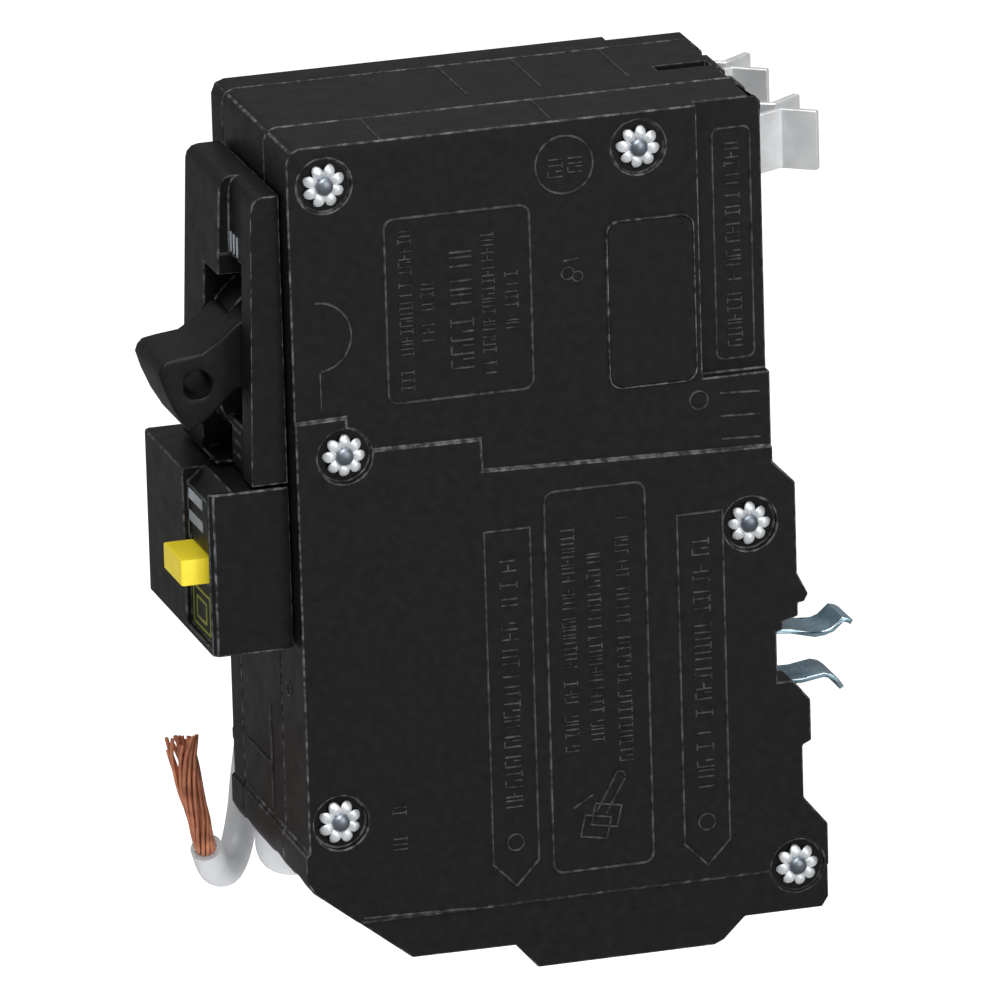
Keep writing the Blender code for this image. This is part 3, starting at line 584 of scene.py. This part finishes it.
def smooth_path(points, per_span):
    """A Catmull-Rom curve through the points."""
    points = [Vector(p) for p in points]
    ends = [2 * points[0] - points[1]] + points + [2 * points[-1] - points[-2]]
    path = []
    for a, b, c, d in zip(ends, ends[1:], ends[2:], ends[3:]):
        for step in range(per_span):
            t = step / per_span
            linear, square, cube = c - a, 2 * a - 5 * b + 4 * c - d, 3 * b - a - 3 * c + d
            path.append(0.5 * (2 * b + linear * t + square * t**2 + cube * t**3))
    return path + [points[-1]]


def lead_route():
    """The CAD's route: out of the far side, round the coil, forward and up to the stripped end."""
    y, z = COIL_CENTRE
    coil = []
    for step in range(int(COIL_TURNS * COIL_STEPS) + 1):
        angle = math.radians(COIL_START) + 2 * math.pi * step / COIL_STEPS
        x = COIL_FIRST_X + COIL_PITCH * step / COIL_STEPS
        coil.append((x, y + COIL_R * math.cos(angle), z + COIL_R * math.sin(angle)))
    return LEAD_OUT + coil + LEAD_END


def frames_along(path, across):
    """Two directions across the path at each of its points, carried along it from the first one."""
    frames = []
    for before, after in zip(path[:1] + path[:-1], path[1:] + path[-1:]):
        way = (after - before).normalized()
        across = (across - way * across.dot(way)).normalized()
        frames.append((across, way.cross(across)))
    return frames


def tube_mesh(path, radius, sides, points, faces):
    """Adds a round tube along a path, closed at both ends."""
    first = len(points)
    across = (path[1] - path[0]).orthogonal().normalized()
    for place, (across, up) in zip(path, frames_along(path, across)):
        for side in range(sides):
            angle = 2 * math.pi * side / sides
            points.append(place + radius * (across * math.cos(angle) + up * math.sin(angle)))
    for row in range(len(path) - 1):
        for side in range(sides):
            after = (side + 1) % sides
            a, b = first + row * sides, first + (row + 1) * sides
            faces.append((a + side, a + after, b + after, b + side))
    faces.append([first + side for side in range(sides)])
    faces.append([first + (len(path) - 1) * sides + side for side in range(sides)])


def pigtail():
    """The insulated lead as one cord, with the stripped end's strands as a second piece."""
    route = lead_route()
    path = smooth_path(route, 6)
    points, faces = [], []
    tube_mesh(path, LEAD_R, 20, points, faces)
    lead = piece("pigtail_insulation", points, faces, "lead_insulation", smooth=50)
    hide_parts("pigtail_lead")
    strands = copper_strands(route)
    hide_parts("pigtail_bare_end")


def copper_strands(route):
    """The stripped end: fine strands laid in a slow twist that opens towards the tips."""
    last, before = Vector(route[-1]), Vector(route[-2])
    way = (last - before).normalized()
    line = smooth_path([last - way * 0.5, last + way * BARE_GAP] + BARE_END, 5)
    across = way.orthogonal().normalized()
    points, faces = [], []
    dice = random.Random(8)
    seats = [(radius, 360 / count * i) for radius, count in STRAND_RINGS for i in range(count)]
    for radius, start in seats:
        fray, drift = dice.uniform(0.1, 1.0) * FRAY, dice.uniform(-TWIST_DRIFT, TWIST_DRIFT)
        short = dice.choice((0, 0, 1, 2, 3))
        frames = frames_along(line, across)[:len(line) - short]
        path = []
        for i, (spot, (across, up)) in enumerate(zip(line, frames)):
            share = i / (len(line) - 1)
            angle = math.radians(start + (TWIST + drift) * share)
            reach = radius * (1 + 1.6 * fray * share**2) + 0.25 * fray * share**3
            path.append(spot + reach * (across * math.cos(angle) + up * math.sin(angle)))
        tube_mesh(path, STRAND_R, 7, points, faces)
    return piece("pigtail_strands", points, faces, "copper", smooth=60)


# CAD nodes that stay

# How wide the rounding of a slot's or a node's edges is
EDGE_WIDTHS = {
    "case_plastic": 0.2, "far_side_cover": 0.14, "handle": 0.42,
    "button_yellow": 0.35, "jaw_tin": 0.16, "clip_steel": 0.12,
}
# A slot whose roundings have a lighter material of their own, a painted highlight, except on the handle
EDGE_HIGHLIGHT_MATERIALS = {"case_plastic": "case_edge_highlight", "clip_steel": "clip_edge_highlight"}
# Nodes whose flat faces are made whole before the rounding, so that fewer thin triangles fold over
WHOLE_FACES_FIRST = ("near_side_cover",)
# An edge is rounded from this angle on, and faces within the other angle are one face, in degrees
ROUNDED_FROM, WHOLE_UP_TO = 38, 0.5


def dress_nodes(frame):
    """Gives every CAD node its slot's material, and the visible ones rounded edges."""
    slots = {entry["node"]: entry["material_slot"] for entry in frame["record"]["subparts"]}
    for name, node in frame["nodes"].items():
        slot = slots[name]
        node.data.materials.clear()
        node.data.materials.append(MATERIALS[slot])
        # The roundings' own lighter material is a painted highlight.
        edge_highlight = EDGE_HIGHLIGHT_MATERIALS.get(slot) if name != "handle" else None
        if edge_highlight:
            node.data.materials.append(MATERIALS[edge_highlight])
        width = EDGE_WIDTHS.get(name) or EDGE_WIDTHS.get(slot)
        if width:
            soften(node, width, 1 if edge_highlight else -1)


def soften(node, width, material):
    """Rounds the edges of a CAD solid, with the lighter material that paints a highlight on the rounding, if
    there is one.
    """
    weld = node.modifiers.new("weld", "WELD")
    weld.merge_threshold = WELD_REACH * MM
    if node.name in WHOLE_FACES_FIRST:
        whole = node.modifiers.new("whole_faces", "DECIMATE")
        whole.decimate_type, whole.angle_limit = "DISSOLVE", math.radians(WHOLE_UP_TO)
    bevel = node.modifiers.new("edges", "BEVEL")
    bevel.width, bevel.segments = width * MM, 2
    bevel.limit_method, bevel.angle_limit = "ANGLE", math.radians(ROUNDED_FROM)
    bevel.use_clamp_overlap = False
    bevel.material = material
    smooth = node.modifiers.new("normals", "WEIGHTED_NORMAL")
    smooth.keep_sharp = False
    node.data.shade_smooth()


# Camera, light and floor

def camera():
    """Looks at VIEW_TARGET and is slid across its picture by VIEW_SLIDE."""
    az, el, roll = (math.radians(v) for v in (VIEW_AZIMUTH, VIEW_ELEVATION, VIEW_ROLL))
    right = Vector((math.cos(az), math.sin(az), 0))
    back = Vector((math.sin(az) * math.cos(el), -math.cos(az) * math.cos(el), math.sin(el)))
    up = back.cross(right)
    turn = Matrix.Rotation(-roll, 3, back)
    right, up = turn @ right, turn @ up
    place = Vector(VIEW_TARGET) + VIEW_DISTANCE * back + VIEW_SLIDE[0] * right + VIEW_SLIDE[1] * up
    lens = bpy.data.cameras.new("camera")
    lens.lens, lens.sensor_width = VIEW_LENS, 36
    lens.clip_start, lens.clip_end = 0.05, 50
    item = bpy.data.objects.new("camera", lens)
    bpy.context.scene.collection.objects.link(item)
    item.matrix_world = Matrix((
        (right.x, up.x, back.x, place.x * MM), (right.y, up.y, back.y, place.y * MM),
        (right.z, up.z, back.z, place.z * MM), (0, 0, 0, 1)))
    bpy.context.scene.camera = item


def area_light(name, place, target, size, power):
    light = bpy.data.lights.new(name, "AREA")
    light.shape, light.size, light.size_y = "RECTANGLE", size[0], size[1]
    light.energy = power
    item = bpy.data.objects.new(name, light)
    item.location = place
    item.rotation_euler = (Vector(target) - Vector(place)).to_track_quat("-Z", "Y").to_euler()
    bpy.context.scene.collection.objects.link(item)


def studio():
    """A dim white room with three soft lights over a white floor."""
    world = bpy.data.worlds.new("studio")
    world.use_nodes = True
    background = world.node_tree.nodes["Background"]
    background.inputs["Color"].default_value = (1, 1, 1, 1)
    background.inputs["Strength"].default_value = ROOM_STRENGTH
    bpy.context.scene.world = world
    area_light("key", (0.75, -0.25, 1.0), (0, -0.03, -0.02), (0.6, 0.6), 11)
    area_light("top", (-0.1, 0.1, 1.1), (0, -0.03, 0), (0.9, 0.5), 7)
    area_light("side", (1.3, 0.5, 0.25), (0, -0.03, -0.02), (0.5, 0.9), 5)
    floor()


def floor():
    """A glowing white floor that the black plastic doesn't mirror."""
    mesh = bpy.data.meshes.new("floor")
    half, level = FLOOR_HALF, FLOOR_LEVEL
    corners = [(-half, -half, level), (half, -half, level), (half, half, level), (-half, half, level)]
    mesh.from_pydata(corners, [], [(0, 1, 2, 3)])
    item = bpy.data.objects.new("floor", mesh)
    bpy.context.scene.collection.objects.link(item)
    shade = Shade("floor", (0.95, 0.95, 0.95), 0.9)
    shade.shader.inputs["Emission Color"].default_value = (1, 1, 1, 1)
    shade.shader.inputs["Emission Strength"].default_value = FLOOR_GLOW
    mesh.materials.append(shade.material)
    item.visible_glossy = False


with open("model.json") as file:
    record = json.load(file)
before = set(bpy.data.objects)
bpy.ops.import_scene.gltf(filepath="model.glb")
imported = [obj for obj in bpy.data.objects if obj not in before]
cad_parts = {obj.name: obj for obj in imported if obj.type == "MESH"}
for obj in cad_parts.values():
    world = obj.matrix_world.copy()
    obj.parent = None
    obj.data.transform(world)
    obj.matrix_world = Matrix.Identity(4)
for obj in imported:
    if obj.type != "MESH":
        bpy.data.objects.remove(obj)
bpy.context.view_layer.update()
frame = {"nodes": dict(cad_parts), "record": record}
MATERIALS = make_materials()
dress_nodes(frame)
marked_side()
top_lines()
front_marks()
for number in range(1, RIVETS + 1):
    rivet(number)
pigtail()
camera()
studio()
bpy.context.scene.view_settings.view_transform = "Standard"
